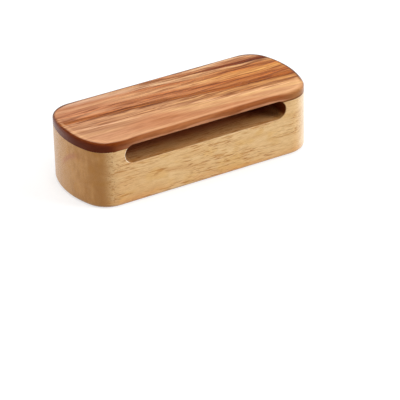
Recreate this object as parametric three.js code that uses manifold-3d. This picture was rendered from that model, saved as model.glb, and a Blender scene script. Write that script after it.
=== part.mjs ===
// A wood block, the hand percussion instrument that is struck with a stick.
// A solid hardwood body has a sound slot milled into its front, just under a plate of denser wood
// that is glued on top and struck. The slot is milled after gluing, so its roof is cut a little way
// into the plate. Millimetres, +Z up. The origin is the centre of the base, +X runs along the block
// and the slot opens towards -Y.
import * as THREE from 'three';
import Module from 'manifold-3d';

// Outline of the block, seen from above
const length = 190;
const width = 76;
const endBow = 11; // how far the middle of an end stands out past a straight end
const cornerRadius = 20;

// Heights, from the base up
const bodyHeight = 44.1;
const glueThickness = 0.2;
const plateThickness = 6.2;

// Sanded edges
const baseEdgeRadius = 3;
const topEdgeRadius = 2.4;
const slotEdgeRadius = 0.6;
const glueInset = 0.1; // the glue that squeezed out is wiped back a little

// Sound slot
const slotLength = 134;
const slotHeight = 14.2;
const slotDepth = 57;
const plateRelief = 1.5; // how far the slot's roof is cut up into the plate
const cutterOverrun = 5; // how far the milling cutter starts in front of the block

// Facets
const cornerSteps = 16;
const endSteps = 20;
const edgeSteps = 6;
const slotEndSteps = 24;
const slotEdgeSteps = 3;

const jointHeight = bodyHeight + glueThickness;
const topHeight = jointHeight + plateThickness;

const wasm = await Module();
wasm.setup();

// Points of the outline, counter-clockwise. The ends are wide arcs and the corners meet them and the
// straight sides at a tangent, so insetting the outline only takes the inset off each radius.
function blockOutline(inset) {
  const endRadius = (width ** 2 / 4 + endBow ** 2) / (2 * endBow);
  const endCentre = length / 2 - endRadius;
  const cornerY = width / 2 - cornerRadius;
  const cornerX = endCentre + Math.sqrt((endRadius - cornerRadius) ** 2 - cornerY ** 2);
  const turn = Math.atan2(cornerY, cornerX - endCentre);
  const arc = (x, y, radius, from, to, steps) =>
    new THREE.EllipseCurve(x, y, radius - inset, radius - inset, from, to).getPoints(steps);
  const half = [
    ...arc(cornerX, -cornerY, cornerRadius, -Math.PI / 2, -turn, cornerSteps),
    ...arc(endCentre, 0, endRadius, -turn, turn, endSteps).slice(1, -1),
    ...arc(cornerX, cornerY, cornerRadius, turn, Math.PI / 2, cornerSteps),
  ];
  return [...half, ...half.map((point) => point.clone().negate())];
}

// Points of the slot's section, a flat oval about the slot's own centre, counter-clockwise.
function slotOutline(growth) {
  const endRadius = slotHeight / 2;
  const endCentre = slotLength / 2 - endRadius;
  const grownRadius = endRadius + growth;
  const half = new THREE.EllipseCurve(
    endCentre, 0, grownRadius, grownRadius, -Math.PI / 2, Math.PI / 2,
  ).getPoints(slotEndSteps);
  return [...half, ...half.map((point) => point.clone().negate())];
}

// Levels of a quarter-round edge whose last level is at height `end`, each with its inset.
function quarterRound(radius, end, steps) {
  return Array.from({ length: steps + 1 }, (_, step) => {
    const angle = (step / steps) * Math.PI / 2;
    return { inset: radius * (1 - Math.cos(angle)), height: end - radius * (1 - Math.sin(angle)) };
  });
}

// A closed solid through matching outlines that are stacked upwards, flat at both ends.
function loft(levels) {
  const count = levels[0].outline.length;
  const positions = levels.flatMap(({ outline, height }) =>
    outline.flatMap((point) => [point.x, point.y, height]));
  const cap = THREE.ShapeUtils.triangulateShape(levels[0].outline, []);
  const lastLevel = (levels.length - 1) * count;
  const indices = cap.flatMap(([a, b, c]) => [c, b, a, lastLevel + a, lastLevel + b, lastLevel + c]);
  for (let level = 0; level < levels.length - 1; level += 1) {
    for (let i = 0; i < count; i += 1) {
      const lower = level * count + i;
      const lowerNext = level * count + ((i + 1) % count);
      indices.push(lower, lowerNext, lowerNext + count, lower, lowerNext + count, lower + count);
    }
  }
  const geometry = new THREE.BufferGeometry();
  geometry.setAttribute('position', new THREE.Float32BufferAttribute(positions, 3));
  geometry.setIndex(indices);
  return geometry;
}

function toSolid(geometry) {
  return new wasm.Manifold(new wasm.Mesh({
    numProp: 3,
    vertProperties: new Float32Array(geometry.attributes.position.array),
    triVerts: new Uint32Array(geometry.index.array),
  }));
}

function toGeometry(solid) {
  const mesh = solid.getMesh();
  const geometry = new THREE.BufferGeometry();
  geometry.setAttribute('position', new THREE.Float32BufferAttribute(mesh.vertProperties, mesh.numProp));
  geometry.setIndex(new THREE.BufferAttribute(mesh.triVerts, 1));
  geometry.computeVertexNormals();
  return geometry;
}

// The body's blank: round lower edge, flat top for the glue.
function bodyBlank() {
  const baseEdge = quarterRound(baseEdgeRadius, 0, edgeSteps)
    .map(({ inset, height }) => ({ outline: blockOutline(inset), height: -height }))
    .reverse();
  return loft([...baseEdge, { outline: blockOutline(0), height: bodyHeight }]);
}

function glueBlank() {
  return loft([bodyHeight, jointHeight].map((height) => ({ outline: blockOutline(glueInset), height })));
}

// The plate's blank: flat underside on the glue, round upper edge.
function plateBlank() {
  const topEdge = quarterRound(topEdgeRadius, topHeight, edgeSteps)
    .map(({ inset, height }) => ({ outline: blockOutline(inset), height }));
  return loft([{ outline: blockOutline(0), height: jointHeight }, ...topEdge]);
}

// What the milling cutter takes out, with the sanded rim of the slot's mouth. It is stacked from the
// deep end to the mouth, and then laid down so that the mouth faces -Y.
function slotCut() {
  const front = width / 2;
  const rim = quarterRound(slotEdgeRadius, front, slotEdgeSteps)
    .map(({ inset, height }) => ({ outline: slotOutline(inset), height }));
  return loft([
    { outline: slotOutline(0), height: front - slotDepth },
    ...rim,
    { outline: slotOutline(slotEdgeRadius), height: front + cutterOverrun },
  ])
    .rotateX(Math.PI / 2)
    .translate(0, 0, jointHeight + plateRelief - slotHeight / 2);
}

const slot = toSolid(slotCut());

function milled(name, blank, colour, roughness) {
  const geometry = toGeometry(toSolid(blank).subtract(slot));
  const material = new THREE.MeshStandardMaterial({ color: colour, roughness, metalness: 0 });
  const mesh = new THREE.Mesh(geometry, material);
  mesh.name = name;
  return mesh;
}

const woodBlock = new THREE.Group();
woodBlock.add(
  milled('body_block', bodyBlank(), 0xd2a56c, 0.5),
  milled('glue_line', glueBlank(), 0x5b3317, 0.6),
  milled('sounding_plate', plateBlank(), 0xb8744a, 0.4),
);

export default woodBlock;
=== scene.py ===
# Wood block: a pale hardwood body with a long sound slot, under a striking plate of striped wood.
from math import atan2, cos, hypot, pi, radians, sin, sqrt

import bpy
from mathutils import Matrix, Vector


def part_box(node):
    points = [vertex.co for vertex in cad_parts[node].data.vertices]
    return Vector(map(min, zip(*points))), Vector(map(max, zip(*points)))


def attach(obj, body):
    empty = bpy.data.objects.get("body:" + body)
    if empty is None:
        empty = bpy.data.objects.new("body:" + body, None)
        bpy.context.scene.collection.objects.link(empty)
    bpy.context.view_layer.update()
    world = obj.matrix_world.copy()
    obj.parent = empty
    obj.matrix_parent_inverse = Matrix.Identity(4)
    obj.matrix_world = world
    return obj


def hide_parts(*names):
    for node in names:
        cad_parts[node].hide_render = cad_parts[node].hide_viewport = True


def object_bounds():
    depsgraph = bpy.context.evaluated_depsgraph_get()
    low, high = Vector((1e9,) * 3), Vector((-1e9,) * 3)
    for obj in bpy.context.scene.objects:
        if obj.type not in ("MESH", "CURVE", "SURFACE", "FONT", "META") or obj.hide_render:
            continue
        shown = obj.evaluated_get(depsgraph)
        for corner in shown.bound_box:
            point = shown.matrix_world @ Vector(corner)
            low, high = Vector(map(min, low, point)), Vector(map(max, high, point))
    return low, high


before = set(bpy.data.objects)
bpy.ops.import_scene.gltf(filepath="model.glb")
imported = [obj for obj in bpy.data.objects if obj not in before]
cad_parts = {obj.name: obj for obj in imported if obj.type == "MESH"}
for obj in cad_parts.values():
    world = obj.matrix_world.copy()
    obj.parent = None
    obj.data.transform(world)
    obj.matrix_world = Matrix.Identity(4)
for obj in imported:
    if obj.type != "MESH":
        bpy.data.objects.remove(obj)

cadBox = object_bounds()
mm = 0.001
hair = 0.02 * mm  # two places closer than this are the same place

bodyLow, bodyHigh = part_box("body_block")
plateLow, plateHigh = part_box("sounding_plate")
front = bodyLow.y


# Modelling helpers

def deselectAll():
    bpy.ops.object.select_all(action="DESELECT")


def startPen(name, point):
    # a plane merged into one vertex is the pen that arcs and lines are drawn with
    deselectAll()
    bpy.ops.mesh.primitive_plane_add(size=mm, location=(0, 0, 0))
    piece = bpy.context.object
    piece.name = name
    piece.data.name = name
    bpy.ops.object.mode_set(mode="EDIT")
    bpy.ops.mesh.select_mode(type="VERT")
    bpy.ops.mesh.merge(type="CENTER")
    bpy.ops.transform.translate(value=point)
    return piece


def penArc(centre, angle, steps, axis):
    # spin turns left-handed about its axis, so the angle is negative
    bpy.ops.mesh.spin(steps=steps, angle=-angle, center=centre, axis=axis)


def penLine(offset):
    bpy.ops.mesh.extrude_vertices_move(TRANSFORM_OT_translate={"value": offset})


def closeFace():
    bpy.ops.mesh.select_all(action="SELECT")
    bpy.ops.mesh.remove_doubles(threshold=hair)
    bpy.ops.mesh.edge_face_add()


def extrudeFace(offset):
    bpy.ops.mesh.extrude_region_move(TRANSFORM_OT_translate={"value": offset})


def leaveEdit():
    bpy.ops.mesh.select_all(action="SELECT")
    bpy.ops.mesh.remove_doubles(threshold=hair)
    bpy.ops.mesh.normals_make_consistent(inside=False)
    bpy.ops.object.mode_set(mode="OBJECT")


def roundEdges(piece, wanted, radius, segments):
    # the edges are picked by the place of their two ends
    bpy.ops.object.mode_set(mode="EDIT")
    bpy.ops.mesh.select_mode(type="EDGE")
    bpy.ops.mesh.select_all(action="DESELECT")
    bpy.ops.object.mode_set(mode="OBJECT")
    corners = piece.data.vertices
    for edge in piece.data.edges:
        edge.select = all(wanted(corners[i].co) for i in edge.vertices)
    bpy.ops.object.mode_set(mode="EDIT")
    bpy.ops.mesh.bevel(offset=radius, segments=segments, affect="EDGES", clamp_overlap=False)
    leaveEdit()


def applyModifiers(piece):
    bpy.context.view_layer.objects.active = piece
    for modifier in list(piece.modifiers):
        bpy.ops.object.modifier_apply(modifier=modifier.name)


# The block's outline: wide arcs at the ends, tighter ones at the corners, straight sides

outline = {
    "length": bodyHigh.x - bodyLow.x,
    "width": bodyHigh.y - bodyLow.y,
    "endBow": 11 * mm,
    "cornerRadius": 20 * mm,
    "cornerSteps": 28,
    "endSteps": 40,
}


def endArc():
    # radius of the arcs at the ends, and how far their centres lie from the block's middle
    halfWidth, bow = outline["width"] / 2, outline["endBow"]
    radius = (halfWidth ** 2 + bow ** 2) / (2 * bow)
    return radius, outline["length"] / 2 - radius


def drawOutline(name, height):
    endRadius, endX = endArc()
    halfWidth, corner = outline["width"] / 2, outline["cornerRadius"]
    cornerY = halfWidth - corner
    cornerX = endX + sqrt((endRadius - corner) ** 2 - cornerY ** 2)
    turn = atan2(cornerY, cornerX - endX)
    cornerTurn, up = pi / 2 - turn, (0, 0, 1)
    cornerSteps, endSteps = outline["cornerSteps"], outline["endSteps"]
    piece = startPen(name, (cornerX, -halfWidth, height))
    for side in (1, -1):
        penArc((side * cornerX, -side * cornerY, height), cornerTurn, cornerSteps, up)
        penArc((side * endX, 0, height), 2 * turn, endSteps, up)
        penArc((side * cornerX, side * cornerY, height), cornerTurn, cornerSteps, up)
        penLine((-2 * side * cornerX, 0, 0))
    closeFace()
    return piece


# The sound slot, milled after gluing, so that its roof is cut a little way into the plate

soundSlot = {
    "length": 134 * mm,
    "height": 14.2 * mm,
    "depth": 57 * mm,
    "relief": 1.5 * mm,  # how far the roof is up in the plate
    "overrun": 5 * mm,
    "endSteps": 48,
    "rimRadius": 0.6 * mm,
    "rimSegments": 5,
}
slotRoof = plateLow.z + soundSlot["relief"]
slotFloor = slotRoof - soundSlot["height"]


def makeSlotCutter():
    # a wide stem up to the front face, the slot itself behind it, and a fillet between them that
    # leaves the slot's rim round
    rim, radius = soundSlot["rimRadius"], soundSlot["height"] / 2
    endX = soundSlot["length"] / 2 - radius
    middleZ = slotRoof - radius
    mouth = front - soundSlot["overrun"]
    cutter = startPen("slotCutter", (endX, mouth, slotFloor - rim))
    for side in (1, -1):
        penArc((side * endX, mouth, middleZ), pi, soundSlot["endSteps"], (0, -1, 0))
        penLine((-2 * side * endX, 0, 0))
    closeFace()
    extrudeFace((0, soundSlot["overrun"] - hair, 0))
    bpy.ops.mesh.inset(thickness=rim)
    extrudeFace((0, soundSlot["depth"] + hair, 0))
    leaveEdit()

    def onFillet(place):
        fromMiddle = hypot(max(abs(place.x) - endX, 0), place.z - middleZ)
        return abs(place.y - front) < 2 * hair and fromMiddle < radius + rim / 2

    roundEdges(cutter, onFillet, rim, soundSlot["rimSegments"])
    return cutter


def millSlot(piece, cutter, rawWood):
    milling = piece.modifiers.new("milling", "BOOLEAN")
    milling.operation = "DIFFERENCE"
    milling.solver = "EXACT"
    milling.object = cutter
    applyModifiers(piece)
    # behind its rim the slot is bare wood
    piece.data.materials.append(rawWood)
    for face in piece.data.polygons:
        place = face.center
        inSlot = slotFloor - hair < place.z < slotRoof + hair and abs(place.x) < soundSlot["length"] / 2
        behindRim = front + soundSlot["rimRadius"] < place.y < front + soundSlot["depth"] + hair
        onJoint = bodyHigh.z - hair < place.z < plateLow.z + hair
        face.material_index = int(inSlot and behindRim and not onJoint)


def smoothPiece(piece):
    # rounded edges shade round, and the flat faces stay flat
    deselectAll()
    piece.select_set(True)
    bpy.context.view_layer.objects.active = piece
    bpy.ops.object.shade_smooth_by_angle(angle=radians(50))
    weighting = piece.modifiers.new("weighting", "WEIGHTED_NORMAL")
    weighting.keep_sharp = True
    applyModifiers(piece)


# Material helpers. Patterns are laid out in millimetres on the block's own coordinates.

def rgb(red, green, blue):
    # a colour as a picture shows it, turned into the linear one that a shader needs
    def linear(share):
        return share / 12.92 if share <= 0.04045 else ((share + 0.055) / 1.055) ** 2.4

    return (linear(red / 255), linear(green / 255), linear(blue / 255), 1)


def startMaterial(name):
    material = bpy.data.materials.new(name)
    material.use_nodes = True
    return material, material.node_tree


def plug(tree, value, socket):
    if isinstance(value, bpy.types.NodeSocket):
        tree.links.new(value, socket)
    else:
        socket.default_value = value


def calc(tree, operation, *values):
    node = tree.nodes.new("ShaderNodeMath")
    node.operation = operation
    for value, socket in zip(values, node.inputs):
        plug(tree, value, socket)
    return node.outputs[0]


def vectorCalc(tree, operation, first, second):
    # to scale, the second value is a number and has a socket of its own
    node = tree.nodes.new("ShaderNodeVectorMath")
    node.operation = operation
    plug(tree, first, node.inputs[0])
    plug(tree, second, node.inputs[3 if operation == "SCALE" else 1])
    return node.outputs[0]


def split(tree, vector):
    node = tree.nodes.new("ShaderNodeSeparateXYZ")
    plug(tree, vector, node.inputs[0])
    return node.outputs[0], node.outputs[1], node.outputs[2]


def join(tree, x, y, z):
    node = tree.nodes.new("ShaderNodeCombineXYZ")
    for value, socket in zip((x, y, z), node.inputs):
        plug(tree, value, socket)
    return node.outputs[0]


def noise(tree, place, size, detail, output=0):
    # size is that of the pattern's patches, in millimetres along each axis
    stretched = vectorCalc(tree, "DIVIDE", place, size)
    node = tree.nodes.new("ShaderNodeTexNoise")
    plug(tree, stretched, node.inputs["Vector"])
    node.inputs["Scale"].default_value = 1
    node.inputs["Detail"].default_value = detail
    return node.outputs[output]


def fade(tree, value, start, end, low=0.0, high=1.0):
    # low up to start, high from end on, and smooth between them
    node = tree.nodes.new("ShaderNodeMapRange")
    node.interpolation_type = "SMOOTHSTEP"
    for given, socket in zip((value, start, end, low, high), node.inputs):
        plug(tree, given, socket)
    return node.outputs[0]


def ramp(tree, value, tones, stops):
    # stops are (place, tone) pairs, in the value's own unit
    first, last = stops[0][0], stops[-1][0]
    node = tree.nodes.new("ShaderNodeValToRGB")
    share = calc(tree, "DIVIDE", calc(tree, "SUBTRACT", value, first), last - first)
    plug(tree, share, node.inputs[0])
    points = node.color_ramp.elements
    points[0].position, points[0].color = 0, tones[stops[0][1]]
    points[1].position, points[1].color = 1, tones[stops[-1][1]]
    for place, tone in stops[1:-1]:
        points.new((place - first) / (last - first)).color = tones[tone]
    return node.outputs[0]


def mix(tree, share, first, second, blend="MIX"):
    # the node has other sockets for numbers, so its colours are at 6 and 7
    node = tree.nodes.new("ShaderNodeMix")
    node.data_type = "RGBA"
    node.blend_type = blend
    plug(tree, share, node.inputs[0])
    plug(tree, first, node.inputs[6])
    plug(tree, second, node.inputs[7])
    return node.outputs[2]


def stain(tree, share, colour, tint):
    # the colour seen through a tint, where the share says
    return mix(tree, share, colour, tint, "MULTIPLY")


def both(tree, first, second):
    return calc(tree, "MULTIPLY", first, second)


def distance(tree, first, second):
    # the long side of a right-angled triangle
    squares = [calc(tree, "POWER", side, 2) for side in (first, second)]
    return calc(tree, "SQRT", calc(tree, "ADD", *squares))


def spots(tree, place, pattern):
    # a noise pattern, faded between two of its levels
    texture, levels = pattern
    return fade(tree, noise(tree, place, *texture), *levels)


def region(tree, first, second, fades):
    # 1 in a region with soft borders in two directions
    firstFade, secondFade = fades
    return both(tree, fade(tree, first, *firstFade), fade(tree, second, *secondFade))


def fromOval(tree, x, across, middle, halfSizes):
    # 0 in the middle of an oval and 1 on its border
    along = calc(tree, "DIVIDE", calc(tree, "SUBTRACT", x, middle[0]), halfSizes[0])
    aside = calc(tree, "DIVIDE", calc(tree, "SUBTRACT", across, middle[1]), halfSizes[1])
    return distance(tree, along, aside)


def addPatches(tree, colour, x, across, patches, tones):
    # soft oval patches of other tones
    for middle, halfSizes, tone, share in patches:
        fromMiddle = fromOval(tree, x, across, middle, halfSizes)
        patchShare = fade(tree, fromMiddle, wood["patchCore"], 1, share, 0)
        colour = mix(tree, patchShare, colour, tones[tone])
    return colour


def insideOutline(tree, x, y):
    # how far a place lies inside the block's outline seen from above, in millimetres
    endRadius, endX = (size / mm for size in endArc())
    fromSide = calc(tree, "SUBTRACT", outline["width"] / 2 / mm, calc(tree, "ABSOLUTE", y))
    fromCentre = distance(tree, calc(tree, "SUBTRACT", calc(tree, "ABSOLUTE", x), endX), y)
    fromEnd = calc(tree, "SUBTRACT", endRadius, fromCentre)
    # blending the two over the corner's size follows its arc closely
    return calc(tree, "SMOOTH_MIN", fromSide, fromEnd, outline["cornerRadius"] / mm)


def blockPlace(tree):
    # places on the block in millimetres
    node = tree.nodes.new("ShaderNodeTexCoord")
    return vectorCalc(tree, "SCALE", node.outputs["Object"], 1 / mm)


def crossShift(tree, place, size, detail, amount):
    # a shift across the grain, never along it
    cloud = noise(tree, place, size, detail, output=1)
    shift = vectorCalc(tree, "SUBTRACT", cloud, (0.5, 0.5, 0.5))
    return vectorCalc(tree, "MULTIPLY", shift, (0, amount, amount))


def waver(tree, place, shifts):
    # grain that runs a little off straight
    for shift in shifts:
        place = vectorCalc(tree, "ADD", place, crossShift(tree, place, *shift))
    return place


def endGrain(tree, sines):
    # 1 where the surface cuts across the fibres, which run a little out of the front face
    node = tree.nodes.new("ShaderNodeTexCoord")
    runOut = radians(wood["runOut"])
    facing = tree.nodes.new("ShaderNodeVectorMath")
    facing.operation = "DOT_PRODUCT"
    plug(tree, node.outputs["Normal"], facing.inputs[0])
    plug(tree, (cos(runOut), sin(runOut), 0), facing.inputs[1])
    return fade(tree, calc(tree, "ABSOLUTE", facing.outputs["Value"]), *sines)


def slotRim(tree, place):
    # 1 on the slot's rim, where a highlight is painted
    x, y, z = split(tree, place)
    radius = soundSlot["height"] / 2 / mm
    rim = soundSlot["rimRadius"] / mm
    endX = soundSlot["length"] / 2 / mm - radius
    outward = calc(tree, "MAXIMUM", calc(tree, "SUBTRACT", calc(tree, "ABSOLUTE", x), endX), 0)
    upward = calc(tree, "SUBTRACT", z, slotRoof / mm - radius)
    (near, far), (shallow, deep) = body["rimHighlightSpread"]
    nearShare = fade(tree, distance(tree, outward, upward), radius + rim * near, radius + rim * far, 1, 0)
    return both(tree, nearShare, fade(tree, y, front / mm + rim * shallow, front / mm + rim * deep, 1, 0))


def bareWood(tree, place, colour):
    # milled wood with no lacquer, and painted shade that darkens it deep in the slot
    inward = calc(tree, "SUBTRACT", split(tree, place)[1], front / mm)
    tint = mix(tree, fade(tree, inward, *wood["deepShadeFade"]), wood["bareTint"], wood["deepShadeTint"])
    return stain(tree, 1, colour, tint)


def finishWood(tree, colour, roughness, height, depth, shine):
    # the lacquer is a little amber, so what it mirrors is warm, except at a glance
    shader = tree.nodes["Principled BSDF"]
    plug(tree, colour, shader.inputs["Base Color"])
    plug(tree, roughness, shader.inputs["Roughness"])
    plug(tree, shine, shader.inputs["Specular IOR Level"])
    shader.inputs["Specular Tint"].default_value = wood["glossTint"]
    bump = tree.nodes.new("ShaderNodeBump")
    bump.inputs["Strength"].default_value = 1
    bump.inputs["Distance"].default_value = depth
    plug(tree, height, bump.inputs["Height"])
    plug(tree, bump.outputs[0], shader.inputs["Normal"])


def finishGrain(tree, colour, fibres, pores, roughness, depth, shine):
    # the fibres stand a little proud, and the pores are deep and rough
    height = calc(tree, "SUBTRACT", calc(tree, "MULTIPLY", fibres, wood["fibreRelief"]), pores)
    grainRoughness = calc(tree, "MULTIPLY_ADD", pores, wood["poreRoughness"], roughness)
    finishWood(tree, colour, grainRoughness, height, depth, shine)


# In the dictionaries below, a fade is (start, end), or (start, end, value before it, value after it).
# A texture is (size of its patches along X, Y and Z in millimetres, detail), a pattern is a texture
# with the fade between two of its levels, and a region has a fade along the block and one across it.

wood = {
    "runOut": 20,  # degrees between the fibres and the front face
    "patchCore": 0.3,  # the share of a patch's half size that has its full tone
    "bareTint": rgb(210, 188, 169),
    "deepShadeTint": rgb(181, 126, 110),
    "deepShadeFade": (9, 22),  # depths in the slot, in millimetres
    "scorchTint": rgb(176, 132, 100),
    "glossTint": rgb(255, 222, 182),
    "bareShine": 0.1,
    "bareRoughness": 0.7,
    "poreRoughness": 0.15,  # what pores add
    "fibreRelief": 0.3,  # beside pores of depth 1
}


# Body

body = {
    "baseEdge": 3 * mm,
    "segments": 10,
    "roughness": 0.26,
    "shine": 0.5,
    "grainDepth": 0.03 * mm,
    "tones": {
        "pale": rgb(238, 203, 151),
        "plain": rgb(230, 189, 134),
        "straw": rgb(232, 190, 128),
        "deep": rgb(216, 170, 116),
    },
    # how the grain wanders: a texture with its amount in millimetres
    "grainShifts": [((60, 24, 24), 1.5, 5), ((15, 8, 8), 1.5, 1.2)],
    # growth rings, with the level of each tone in their texture
    "heart": (0, -22, 6),  # their centre, in millimetres
    "rings": [(0.3, "deep"), (0.45, "plain"), (0.62, "pale"), (0.75, "plain")],
    "ringTexture": ((4, 4, 4), 3),
    "ringStretch": 0.06,  # how fast they change along the fibres, as a share of how fast across them
    "endContrast": 0.35,  # how strongly the end grain shows the rings
    "strawPattern": (((14, 7, 7), 1), (0.5, 0.68)),
    # paler patches on the sides: (middle along the block, height), half sizes, tone, share
    "patches": [
        ((-76, 37), (22, 16), "pale", 0.9),
        ((16, 28), (28, 8), "pale", 0.6),
        ((68, 18), (18, 11), "pale", 0.6),
        ((12, 15), (30, 4), "pale", 0.4),
    ],
    # open pores and wider flecks, both crowded in places, and fine fibres
    "crowdPattern": (((38, 11, 11), 1), (0.34, 0.58, 0.3, 1)),
    "fleckPattern": (((12, 1, 1), 1), (0.52, 0.68)),
    "fleckTint": rgb(228, 206, 178),
    "porePattern": (((10, 0.55, 0.55), 1.5), (0.56, 0.68)),
    "poreTint": rgb(196, 162, 126),
    "endPores": 0.3,  # how strongly the end grain shows the pores
    "fibreTexture": ((4, 0.18, 0.18), 3),
    "fibreFade": (0.3, 0.65, 1, 0),
    "fibreTint": rgb(236, 230, 220),
    # a redder layer low on the block
    "basePattern": (((40, 20, 4), 1), (0.3, 0.6)),
    "baseFade": (2, 8, 1, 0),  # heights, in millimetres
    "baseTint": rgb(253, 232, 210),
    # end grain, browner towards the front, and a ring of pinker wood that shows on the left end
    "endSines": (0.58, 0.88),  # how far across the fibres a surface cuts when its end grain shows
    "endTints": (rgb(223, 196, 160), rgb(246, 226, 198)),
    "smudgeTexture": ((9, 5, 12), 2),
    "smudgeSlope": 0.012,
    "smudgeFade": (0.1, 0.5),
    "arcRadius": 31,
    "arcWidth": (0.3, 3.5, 1, 0),
    "arcRegion": ((-22, -10), (20, 30)),  # across the block, and up it
    "arcTint": rgb(244, 224, 246),
    # painted light and shade that only the lacquered faces have, with the two fades along the block
    "leftShadeFade": (-80, -20, 1, 0),
    "leftShadeTint": rgb(248, 242, 238),
    "rimHighlightFade": (-66.5, -62.5, 0.9, 0.1),
    "rimHighlightSpread": ((0.6, 1.2), (1.2, 2)),  # outwards and inwards, in radii of the rim
    "rimHighlightTone": rgb(255, 240, 212),
    "rightHighlightRegion": ((74, 90, 0, 0.55), (-26, -12, 1, 0)),
    "rightHighlightTone": rgb(255, 248, 232),
}


def bodyRings(tree, place, along, ring, acrossFibres):
    # growth rings about the heart, drawn out into long bands on the sides
    stretched = join(tree, ring, calc(tree, "MULTIPLY", along, body["ringStretch"]), 0)
    rings = noise(tree, stretched, *body["ringTexture"])
    contrast = fade(tree, acrossFibres, 0, 1, 1, body["endContrast"])
    rings = calc(tree, "MULTIPLY_ADD", calc(tree, "SUBTRACT", rings, 0.5), contrast, 0.5)
    colour = ramp(tree, rings, body["tones"], body["rings"])
    return mix(tree, spots(tree, place, body["strawPattern"]), colour, body["tones"]["straw"])


def bodyPores(tree, colour, place, grain, onSide):
    # dark dashes along the fibres, and dots on the end grain
    crowd = spots(tree, place, body["crowdPattern"])
    flecks = both(tree, spots(tree, grain, body["fleckPattern"]), crowd)
    pores = both(tree, spots(tree, grain, body["porePattern"]), crowd)
    colour = stain(tree, both(tree, flecks, onSide), colour, body["fleckTint"])
    poreShare = both(tree, pores, fade(tree, onSide, 0, 1, body["endPores"], 1))
    return stain(tree, poreShare, colour, body["poreTint"]), pores


def bodyEnds(tree, colour, place, y, z, ring, acrossFibres):
    # end grain drinks the lacquer and turns brown, with a soft arc of pinker wood
    smudges = noise(tree, place, *body["smudgeTexture"])
    smudges = calc(tree, "MULTIPLY_ADD", y, body["smudgeSlope"], smudges)
    endTint = mix(tree, fade(tree, smudges, *body["smudgeFade"]), *body["endTints"])
    colour = stain(tree, acrossFibres, colour, endTint)
    fromArc = calc(tree, "ABSOLUTE", calc(tree, "SUBTRACT", ring, body["arcRadius"]))
    arcShare = both(tree, fade(tree, fromArc, *body["arcWidth"]), region(tree, y, z, body["arcRegion"]))
    return stain(tree, both(tree, arcShare, acrossFibres), colour, body["arcTint"])


def bodyPaintedLight(tree, colour, place, x, y):
    # painted shade: darker and a little redder towards the left
    colour = stain(tree, fade(tree, x, *body["leftShadeFade"]), colour, body["leftShadeTint"])
    # a painted highlight on the slot's rim, strongest at its left end
    rimHighlightShare = both(tree, slotRim(tree, place), fade(tree, x, *body["rimHighlightFade"]))
    colour = mix(tree, rimHighlightShare, colour, body["rimHighlightTone"])
    # a painted highlight, nearly white, at the right end's front corner
    return mix(tree, region(tree, x, y, body["rightHighlightRegion"]), colour, body["rightHighlightTone"])


def paintBody(name, raw):
    material, tree = startMaterial(name)
    place = blockPlace(tree)
    grain = waver(tree, place, body["grainShifts"])
    x, y, z = split(tree, grain)
    acrossFibres = endGrain(tree, body["endSines"])
    onSide = calc(tree, "SUBTRACT", 1, acrossFibres)
    along, aside, above = split(tree, vectorCalc(tree, "SUBTRACT", grain, body["heart"]))
    ring = distance(tree, aside, above)

    colour = bodyRings(tree, place, along, ring, acrossFibres)
    patched = addPatches(tree, colour, x, z, body["patches"], body["tones"])
    colour = mix(tree, onSide, colour, patched)
    colour, pores = bodyPores(tree, colour, place, grain, onSide)
    fibres = noise(tree, grain, *body["fibreTexture"])
    colour = stain(tree, fade(tree, fibres, *body["fibreFade"]), colour, body["fibreTint"])
    baseShare = both(tree, fade(tree, z, *body["baseFade"]), spots(tree, place, body["basePattern"]))
    colour = stain(tree, both(tree, baseShare, onSide), colour, body["baseTint"])
    colour = bodyEnds(tree, colour, place, y, z, ring, acrossFibres)

    if raw:
        # the cutter scorches the slot's ends
        colour = bareWood(tree, place, stain(tree, acrossFibres, colour, wood["scorchTint"]))
        roughness, shine = wood["bareRoughness"], wood["bareShine"]
    else:
        colour = bodyPaintedLight(tree, colour, place, x, y)
        roughness, shine = body["roughness"], body["shine"]
    finishGrain(tree, colour, fibres, pores, roughness, body["grainDepth"], shine)
    return material


def makeBody(cutter):
    piece = drawOutline("bodyWood", bodyLow.z)
    extrudeFace((0, 0, bodyHigh.z - bodyLow.z))
    leaveEdit()
    roundEdges(piece, lambda place: abs(place.z - bodyLow.z) < hair, body["baseEdge"], body["segments"])
    piece.data.materials.append(paintBody("bodyLacquered", raw=False))
    millSlot(piece, cutter, paintBody("bodyBare", raw=True))
    smoothPiece(piece)
    return piece


# Striking plate

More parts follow.
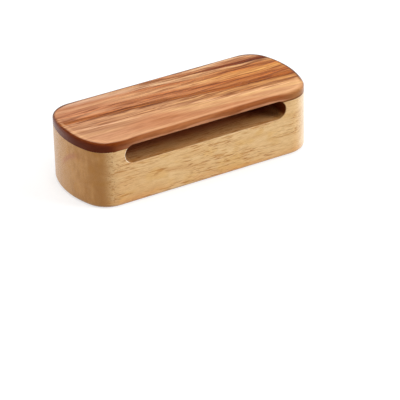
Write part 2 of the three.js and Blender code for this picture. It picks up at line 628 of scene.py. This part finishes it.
plate = {
    "topEdge": 2.4 * mm,
    "segments": 10,
    "roughness": 0.25,
    "shine": 0.22,
    "dullShine": 0.08,
    "grainDepth": 0.02 * mm,
    "tones": {
        "salmon": rgb(221, 163, 115),
        "pale": rgb(246, 193, 147),
        "gold": rgb(237, 186, 130),
        "tan": rgb(218, 161, 115),
        "umber": rgb(202, 148, 103),
        "olive": rgb(217, 164, 112),
        "clay": rgb(204, 138, 93),
        "rust": rgb(184, 116, 70),
        "streak": rgb(172, 103, 47),
        "ash": rgb(229, 183, 146),
    },
    # tones across the plate, in millimetres from its middle towards the back
    "stripes": [
        (-46, "tan"),
        (-39, "salmon"),
        (-32, "salmon"),
        (-27.5, "tan"),
        (-22, "gold"),
        (-19.5, "tan"),
        (-15.5, "gold"),
        (-11, "tan"),
        (-8, "umber"),
        (-5, "tan"),
        (-1.8, "umber"),
        (0, "streak"),
        (3, "streak"),
        (6, "clay"),
        (9.5, "rust"),
        (12.5, "clay"),
        (17.5, "tan"),
        (20.5, "salmon"),
        (24, "clay"),
        (28, "ash"),
        (33, "umber"),
        (36.5, "clay"),
        (41, "ash"),
        (48, "ash"),
    ],
    "slant": 0.08,
    "bendFade": (-15, 40, 0, 4),
    # broad patches in the stripes: (middle along the plate, middle across it), half sizes, tone, share
    "patches": [
        ((-36, -15), (30, 8), "tan", 0.9),
        ((-20, -29), (60, 10), "clay", 0.9),
        ((-34, -21), (40, 8), "clay", 0.9),
        ((34, -25), (38, 5), "clay", 1),
        ((26, -30), (24, 5), "clay", 0.8),
        ((50, -19), (32, 4), "tan", 1),
        ((-68, -18), (40, 6.5), "umber", 1),
        ((-66, -10), (36, 2.2), "umber", 0.9),
        ((-66, -14), (40, 1.3), "pale", 1),
        ((-66, -5), (36, 4), "olive", 0.6),
        ((-24, -25), (17, 3.5), "rust", 0.7),
        ((34, -18), (34, 3.5), "clay", 0.6),
        ((20, -16), (50, 6), "gold", 0.4),
        ((72, -21), (34, 6), "tan", 0.8),
        ((44, -12), (66, 3), "pale", 1),
        ((70, -6), (34, 1.8), "umber", 0.6),
        ((22, -6), (44, 3), "olive", 0.7),
        ((-6, 10.8), (72, 4.5), "rust", 0.9),
        ((68, 9.5), (40, 3), "rust", 0.6),
        ((-70, 15), (42, 5.5), "clay", 0.9),
        ((-74, 8), (40, 4), "tan", 0.7),
        ((-74, -4), (30, 4), "tan", 0.8),
        ((46, 17.8), (64, 3.5), "pale", 0.6),
        ((-4, 24), (30, 3), "rust", 0.8),
        ((66, 27), (44, 4), "rust", 0.8),
        ((44, 31.2), (40, 3), "pale", 0.6),
        ((66, 40), (26, 4), "rust", 0.8),
    ],
    # thin dark lines along the stripes: place across the plate, ends along it, half width, share
    "veins": [
        (-19, (-100, -35), 0.9, 0.25),
        (-7.5, (0, 76), 0.9, 0.5),
        (-0.6, (-60, 110), 0.8, 0.7),
        (2.2, (-110, 70), 0.9, 0.6),
        (10.8, (-40, 110), 1, 0.5),
        (25.5, (-15, 110), 1.2, 0.6),
        (34.3, (-30, 110), 1, 0.7),
    ],
    "veinTaper": 25,  # the length over which a vein starts or ends
    "veinCore": 0.2,  # half of its darkest width
    "veinTint": rgb(176, 132, 84),
    # pinker at the left, and more orange behind the middle streak at the right
    "pinkFade": (-80, -10, 1, 0),
    "pinkTint": rgb(246, 243, 252),
    "orangeFade": (-20, 65),
    "orangeStart": (-18, 2, 0.1, 1),  # across the plate, as the next one
    "orangeEnd": (27, 33, 1, 0.2),
    "orangeTint": rgb(252, 233, 182),
    # a dark streak that starts at the back and widens to the right
    "backPlace": 35,
    "backWidth": (0, 80, 0.5, 3.6),
    "backCore": (0.4, 1, 1, 0),
    "backStart": (5, 50),
    "backStreak": rgb(120, 52, 6),
    # how the grain wanders, as for the body, and the ovals where it runs wild
    "grainShifts": [((70, 18, 18), 1.5, 3), ((22, 7, 7), 1.5, 1.1)],
    "eyes": [(-20, -5), (52, -6)],
    "eyeSize": (14, 6),
    "eyeFade": (0.2, 1, 1, 0),
    "eyeShift": ((5, 3, 3), 1, 3.5),
    # dark and pale lines along the grain, calmer at the front and at the back left
    "frontCalm": (-20, -8, 0.12, 0.9),
    "calmRegion": ((-40, -10, 1, 0), (11, 17)),
    "calmStrength": 0.3,
    "livelyPattern": (((50, 5, 5), 1), (0.4, 0.6, 0.55, 1)),
    "lineMove": (0, -3, 0),  # moves the bands and the lines across the plate
    "bandPattern": (((60, 2.6, 6), 1), (0.3, 0.5, 0.25, 0)),
    "lineTexture": ((24, 1.5, 4), 1),
    "darkLines": (0.36, 0.52, 1, 0),
    "lineTint": rgb(180, 146, 114),
    "paleLines": (0.54, 0.66),
    "paleStrength": 0.4,
    "paleLine": rgb(255, 235, 215),
    "finePattern": (((11, 0.9, 2), 1), (0.35, 0.55, 0.25, 0)),
    # short pores, and a few bright flecks across the grain
    "porePattern": (((6, 0.9, 1.8), 1), (0.56, 0.7)),
    "poreTint": rgb(208, 180, 154),
    "fleckPattern": (((1.1, 2.2, 2.2), 2.5), (0.56, 0.7)),
    "fleckRegion": ((30, 60, 1, 0), (-6, 8)),
    "fleckStrength": 0.4,
    "fleckTone": rgb(255, 232, 206),
    # the plate's edge, a dark layer on a lighter one; the lower, lighter layer is partly the wood's tone
    # and partly painted light bounced up from the floor
    "sideTones": {
        "light": rgb(197, 136, 98),
        "dark": rgb(167, 103, 61),
        "darkRight": rgb(154, 88, 47),
        "corner": rgb(116, 50, 8),
        "rightEnd": rgb(156, 101, 53),
        "jointShade": rgb(118, 66, 22),
        "back": rgb(96, 46, 16),
        "edgeHighlight": rgb(252, 196, 146),
    },
    "borderDepth": (40, 70, 0.4, 1.2),  # how deep the border between them lies, at its least
    "borderTexture": ((24, 10, 10), 2),
    "borderWander": 5,  # how much deeper the texture takes it
    "borderBlur": (-0.5, 0.5),
    "darkFade": (0, 30),
    "rightFade": (62, 80),
    "jointShadeRegion": ((57, 63), (4.4, 5.8)),  # along the plate, and down from its top
    "cornerFade": (-78, -46, 1, 0),
    "backFade": (12, 30),
    "rightRegion": ((60, 84), (-25, -8)),
    # the painted highlight line that the struck face ends in, in millimetres inside the outline
    "edgeHighlightStart": (3, 4),
    "edgeHighlightEnd": (4.6, 6.4, 0.3, 0),
    "edgeHighlightBack": (0, 0.6, 1, 0),  # gone on the back edge
    # where the edge's layers start to give way to the struck face, all round and at the front right
    "faceStarts": (1.7, 0.6),
    "faceEnd": 3.3,
    # regions where all of this lies further out, and by how much
    "frontLeft": ((-66, -52, 1, 0), (-34, -28, 1, 0)),
    "frontLeftShift": 0.8,
    "leftEnd": ((-90, -78, 1, 0), (0, 12)),
    "frontRight": ((50, 76), (-30, -22, 1, 0)),
    "outerShift": 1.4,
    # chocolate end grain with a painted sheen, milkier towards the back, with depths in millimetres from
    # the plate's top
    "endSines": (0.4, 0.7),
    "endTexture": ((6, 6, 2), 3),
    "endTones": (rgb(84, 28, 4), rgb(106, 48, 30)),
    "endDepth": (0, 0.9),
    "endSheenFade": (-16, 6),
    "endSheenTone": rgb(124, 77, 65),
    "dullDepth": (0, 0.2),  # where the back's rounding turns dull
}


def wildGrain(tree, grain):
    # the grain swirls about a few places, a little each
    x, y, _ = split(tree, grain)
    fromEyes = [fromOval(tree, x, y, eye, plate["eyeSize"]) for eye in plate["eyes"]]
    nearest = fromEyes[0]
    for fromEye in fromEyes[1:]:
        nearest = calc(tree, "MINIMUM", nearest, fromEye)
    swirl = crossShift(tree, grain, *plate["eyeShift"])
    swirl = vectorCalc(tree, "SCALE", swirl, fade(tree, nearest, *plate["eyeFade"]))
    return vectorCalc(tree, "ADD", grain, swirl)


def addVein(tree, colour, x, across, vein):
    middle, (start, end), width, share = vein
    aside = calc(tree, "ABSOLUTE", calc(tree, "SUBTRACT", across, middle))
    started = fade(tree, x, start, start + plate["veinTaper"])
    ended = fade(tree, x, end - plate["veinTaper"], end, 1, 0)
    veinShare = fade(tree, aside, plate["veinCore"], width, share, 0)
    veinShare = both(tree, veinShare, both(tree, started, ended))
    return stain(tree, veinShare, colour, plate["veinTint"])


def plateStripes(tree, grain):
    # the stripes cross the plate at a slant, with a bend past its middle
    x, y, _ = split(tree, grain)
    across = calc(tree, "MULTIPLY_ADD", x, plate["slant"], y)
    across = calc(tree, "ADD", across, fade(tree, x, *plate["bendFade"]))
    colour = ramp(tree, across, plate["tones"], plate["stripes"])
    colour = addPatches(tree, colour, x, across, plate["patches"], plate["tones"])
    for vein in plate["veins"]:
        colour = addVein(tree, colour, x, across, vein)
    colour = stain(tree, fade(tree, x, *plate["pinkFade"]), colour, plate["pinkTint"])
    orangeStart, orangeEnd = (fade(tree, across, *plate[k]) for k in ("orangeStart", "orangeEnd"))
    orangeShare = both(tree, fade(tree, x, *plate["orangeFade"]), both(tree, orangeStart, orangeEnd))
    colour = stain(tree, orangeShare, colour, plate["orangeTint"])
    fromStreak = calc(tree, "ABSOLUTE", calc(tree, "SUBTRACT", across, plate["backPlace"]))
    streakWidth = fade(tree, x, *plate["backWidth"])
    streakShare = fade(tree, calc(tree, "DIVIDE", fromStreak, streakWidth), *plate["backCore"])
    streakShare = both(tree, streakShare, fade(tree, x, *plate["backStart"]))
    return mix(tree, streakShare, colour, plate["backStreak"]), across


def backEdge(tree, x, y):
    # 1 at the back, and along the right end up to its front corner
    rightEnd = region(tree, x, y, plate["rightRegion"])
    return calc(tree, "MAXIMUM", fade(tree, y, *plate["backFade"]), rightEnd)


def sideLayers(tree, place, x, below, atBack):
    # the tones of the plate's edge
    tones = plate["sideTones"]
    border = noise(tree, place, *plate["borderTexture"])
    borderDepth = fade(tree, x, *plate["borderDepth"])
    border = calc(tree, "MULTIPLY_ADD", border, plate["borderWander"], borderDepth)
    lowShare = fade(tree, calc(tree, "SUBTRACT", below, border), *plate["borderBlur"])
    dark = mix(tree, fade(tree, x, *plate["darkFade"]), tones["dark"], tones["darkRight"])
    # the lower layer is lighter, partly painted light bounced up from the floor
    layers = mix(tree, lowShare, dark, tones["light"])
    layers = mix(tree, fade(tree, x, *plate["rightFade"]), layers, tones["rightEnd"])
    # towards the right end the joint is darker: a dark glue line and painted shade
    layers = mix(tree, region(tree, x, below, plate["jointShadeRegion"]), layers, tones["jointShade"])
    layers = mix(tree, fade(tree, x, *plate["cornerFade"]), layers, tones["corner"])
    return mix(tree, atBack, layers, tones["back"])


def plateSides(tree, place, colour):
    x, y, z = split(tree, place)
    below = calc(tree, "SUBTRACT", plateHigh.z / mm, z)
    atBack = backEdge(tree, x, y)
    layers = sideLayers(tree, place, x, below, atBack)
    # the struck face ends in a painted highlight line just inside its rounding, which lies further out at
    # the two front corners and at the back of the left end
    frontLeft = region(tree, x, y, plate["frontLeft"])
    leftEnd = region(tree, x, y, plate["leftEnd"])
    frontRight = region(tree, x, y, plate["frontRight"])
    inside = calc(tree, "MULTIPLY_ADD", frontLeft, plate["frontLeftShift"], insideOutline(tree, x, y))
    outer = calc(tree, "MAXIMUM", leftEnd, frontRight)
    inside = calc(tree, "MULTIPLY_ADD", outer, plate["outerShift"], inside)
    edgeHighlight = both(tree, fade(tree, inside, *plate["edgeHighlightStart"]), fade(tree, inside, *plate["edgeHighlightEnd"]))
    edgeHighlight = both(tree, edgeHighlight, fade(tree, atBack, *plate["edgeHighlightBack"]))
    colour = mix(tree, edgeHighlight, colour, plate["sideTones"]["edgeHighlight"])
    faceStart = fade(tree, frontRight, 0, 1, *plate["faceStarts"])
    return mix(tree, fade(tree, inside, faceStart, plate["faceEnd"], 1, 0), colour, layers)


def plateLines(tree, colour, place, grain, across):
    # lines along the grain, weaker in the plate's front part and at the back left
    x, y, _ = split(tree, place)
    calm = region(tree, x, across, plate["calmRegion"])
    lively = fade(tree, across, *plate["frontCalm"])
    lively = both(tree, lively, fade(tree, calm, 0, 1, 1, plate["calmStrength"]))
    lively = both(tree, lively, spots(tree, place, plate["livelyPattern"]))
    moved = vectorCalc(tree, "ADD", grain, plate["lineMove"])
    colour = stain(tree, spots(tree, moved, plate["bandPattern"]), colour, plate["lineTint"])
    lines = noise(tree, moved, *plate["lineTexture"])
    darkShare = both(tree, fade(tree, lines, *plate["darkLines"]), lively)
    colour = stain(tree, darkShare, colour, plate["lineTint"])
    paleShare = both(tree, fade(tree, lines, *plate["paleLines"]), lively)
    paleShare = calc(tree, "MULTIPLY", paleShare, plate["paleStrength"])
    colour = mix(tree, paleShare, colour, plate["paleLine"], "OVERLAY")
    colour = stain(tree, spots(tree, grain, plate["finePattern"]), colour, plate["lineTint"])
    pores = both(tree, spots(tree, grain, plate["porePattern"]), lively)
    colour = stain(tree, pores, colour, plate["poreTint"])
    flecked = region(tree, calc(tree, "ABSOLUTE", x), y, plate["fleckRegion"])
    flecks = both(tree, spots(tree, place, plate["fleckPattern"]), flecked)
    fleckShare = calc(tree, "MULTIPLY", flecks, plate["fleckStrength"])
    return mix(tree, fleckShare, colour, plate["fleckTone"], "OVERLAY"), lines, pores


def paintPlate(name, raw):
    material, tree = startMaterial(name)
    place = blockPlace(tree)
    grain = wildGrain(tree, waver(tree, place, plate["grainShifts"]))
    colour, across = plateStripes(tree, grain)
    colour = plateSides(tree, place, colour)
    colour, lines, pores = plateLines(tree, colour, place, grain, across)

    # end grain drinks the lacquer and turns to chocolate
    x, y, z = split(tree, place)
    below = calc(tree, "SUBTRACT", plateHigh.z / mm, z)
    acrossFibres = endGrain(tree, plate["endSines"])
    endTone = mix(tree, noise(tree, place, *plate["endTexture"]), *plate["endTones"])
    # a painted sheen turns the end grain milkier towards the back
    endTone = mix(tree, fade(tree, y, *plate["endSheenFade"]), endTone, plate["endSheenTone"])
    endShare = both(tree, acrossFibres, fade(tree, below, *plate["endDepth"]))
    colour = mix(tree, endShare, colour, endTone)

    if raw:
        colour = bareWood(tree, place, colour)
        roughness, shine = wood["bareRoughness"], wood["bareShine"]
    else:
        # the end grain and the back's rounding are dull
        dullBack = both(tree, backEdge(tree, x, y), fade(tree, below, *plate["dullDepth"]))
        dull = calc(tree, "MAXIMUM", dullBack, acrossFibres)
        roughness, shine = plate["roughness"], fade(tree, dull, 0, 1, plate["shine"], plate["dullShine"])
    finishGrain(tree, colour, lines, pores, roughness, plate["grainDepth"], shine)
    return material


def makePlate(cutter):
    piece = drawOutline("plateWood", plateLow.z)
    extrudeFace((0, 0, plateHigh.z - plateLow.z))
    leaveEdit()
    roundEdges(piece, lambda place: abs(place.z - plateHigh.z) < hair, plate["topEdge"], plate["segments"])
    piece.data.materials.append(paintPlate("plateLacquered", raw=False))
    millSlot(piece, cutter, paintPlate("plateBare", raw=True))
    smoothPiece(piece)
    return piece


slotCutter = makeSlotCutter()
bodyPiece = makeBody(slotCutter)
platePiece = makePlate(slotCutter)
bpy.data.objects.remove(slotCutter)
for piece in (bodyPiece, platePiece):
    print("piece", piece.name, len(piece.data.vertices), "vertices", len(piece.data.polygons), "faces")

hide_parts("body_block")
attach(bodyPiece, "root")
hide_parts("sounding_plate")
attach(platePiece, "root")


# Glue line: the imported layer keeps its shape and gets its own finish

glue = {
    "tones": {"dark": rgb(62, 34, 18), "light": rgb(96, 58, 34)},
    "texture": ((6, 3, 3), 3),
    "levels": [(0.35, "dark"), (0.65, "light")],
    "roughness": (0.3, 0.7, 0.45, 0.7),
    "grainDepth": 0.02 * mm,
    "shine": 0.4,
}


def paintGlue():
    material, tree = startMaterial("setGlue")
    patches = noise(tree, blockPlace(tree), *glue["texture"])
    colour = ramp(tree, patches, glue["tones"], glue["levels"])
    roughness = fade(tree, patches, *glue["roughness"])
    finishWood(tree, colour, roughness, patches, glue["grainDepth"], glue["shine"])
    return material


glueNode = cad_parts["glue_line"]
glueNode.data.materials.clear()
glueNode.data.materials.append(paintGlue())
print("finishes", [material.name for material in bpy.data.materials])


# Stage: a pale floor, a white surrounding and soft lamps

stage = {
    "floorSize": 12,
    "floorShade": 0.5,
    "floorRoughness": 0.9,
    "floorLift": 0.58,  # what the floor's own light lacks to white, for the camera and for reflections
    "ambient": 0.25,
    "ceiling": 0.3,  # shade of the backdrop overhead, in reflections
    "ceilingFade": (0.1, 0.5),  # sines of the heights at which the white backdrop turns to that shade
}

lamps = {
    # name: (direction from the block, width in degrees, light on a surface that faces it)
    "overhead": ((-0.1, -0.35, 1.0), 30, 0.26),
    "overheadBack": ((0.1, 0.25, 1.0), 30, 0.18),
    "rightFront": ((0.75, -0.6, 0.4), 30, 0.62),
    "right": ((1.0, -0.12, 0.4), 90, 0.3),
    "backLeft": ((-0.8, 0.6, 0.45), 60, 0.36),
}


def seenDirectly(tree):
    # 1 for the camera and for what is mirrored or shows through, 0 for light that falls on the block
    rays = tree.nodes.new("ShaderNodeLightPath")
    seen = calc(tree, "MAXIMUM", rays.outputs["Is Camera Ray"], rays.outputs["Is Glossy Ray"])
    return calc(tree, "MAXIMUM", seen, rays.outputs["Is Transmission Ray"])


def makeFloor():
    deselectAll()
    bpy.ops.mesh.primitive_plane_add(size=stage["floorSize"], location=(0, 0, bodyLow.z))
    floor = bpy.context.object
    floor.name = "floor"
    material, tree = startMaterial("floor")
    shader = tree.nodes["Principled BSDF"]
    shader.inputs["Base Color"].default_value = (stage["floorShade"],) * 3 + (1,)
    shader.inputs["Roughness"].default_value = stage["floorRoughness"]
    shader.inputs["Specular IOR Level"].default_value = 0
    shader.inputs["Emission Color"].default_value = (1, 1, 1, 1)
    lift = calc(tree, "MULTIPLY", seenDirectly(tree), stage["floorLift"])
    plug(tree, lift, shader.inputs["Emission Strength"])
    # clear from below, so that the block's base can be looked at through it
    underneath = tree.nodes.new("ShaderNodeNewGeometry").outputs["Backfacing"]
    plug(tree, calc(tree, "SUBTRACT", 1, underneath), shader.inputs["Alpha"])
    floor.data.materials.append(material)


def makeSurroundings():
    world = bpy.data.worlds.new("surroundings")
    world.use_nodes = True
    tree = world.node_tree
    direction = tree.nodes.new("ShaderNodeTexCoord").outputs["Generated"]
    backdrop = fade(tree, split(tree, direction)[2], *stage["ceilingFade"], 1, stage["ceiling"])
    # dimmer for the light that falls on the block
    strength = tree.nodes.new("ShaderNodeMix")
    plug(tree, seenDirectly(tree), strength.inputs[0])
    plug(tree, stage["ambient"], strength.inputs[2])
    plug(tree, backdrop, strength.inputs[3])
    background = tree.nodes["Background"]
    background.inputs["Color"].default_value = (1, 1, 1, 1)
    plug(tree, strength.outputs[0], background.inputs["Strength"])
    bpy.context.scene.world = world


def makeLamps():
    for name, (direction, width, level) in lamps.items():
        lampData = bpy.data.lights.new(name, "SUN")
        lampData.angle = radians(width)
        lampData.energy = level * pi
        lamp = bpy.data.objects.new(name, lampData)
        lamp.visible_glossy = False  # the lacquer mirrors the surroundings, not the lamps
        bpy.context.scene.collection.objects.link(lamp)
        away = Vector(direction).normalized()
        lamp.location = away
        lamp.rotation_euler = away.to_track_quat("Z", "Y").to_euler()


makeFloor()
makeSurroundings()
makeLamps()
print("stage", len(lamps), "lamps")


# Camera

view = {
    "azimuth": -30.57,
    "elevation": 28.64,
    "roll": -1.4,
    "distance": 1.779,
    "lens": 220.33,
    "sensor": 36,
    "imageSize": 400,
    "blockPixel": (180.29, 128.63),  # where the middle of the block is in the picture
}


def makeCamera():
    azimuth, elevation, roll = (radians(view[k]) for k in ("azimuth", "elevation", "roll"))
    back = Vector((sin(azimuth) * cos(elevation), -cos(azimuth) * cos(elevation), sin(elevation)))
    level = Vector((cos(azimuth), sin(azimuth), 0))
    upright = back.cross(level)
    right = cos(roll) * level + sin(roll) * upright
    up = back.cross(right)
    pixel = view["distance"] * view["sensor"] / view["lens"] / view["imageSize"]  # its size at the block
    toRight, down = ((p - view["imageSize"] / 2) * pixel for p in view["blockPixel"])
    middle = (cadBox[0] + cadBox[1]) / 2
    cameraData = bpy.data.cameras.new("camera")
    cameraData.lens = view["lens"]
    cameraData.sensor_width = view["sensor"]
    camera = bpy.data.objects.new("camera", cameraData)
    bpy.context.scene.collection.objects.link(camera)
    place = middle + back * view["distance"] - right * toRight + up * down
    camera.matrix_world = Matrix.Translation(place) @ Matrix((right, up, back)).transposed().to_4x4()
    bpy.context.scene.camera = camera
    print("camera", view["azimuth"], "and", view["elevation"], "degrees, from", view["distance"], "m")


makeCamera()

bpy.context.scene.view_settings.view_transform = "Standard"
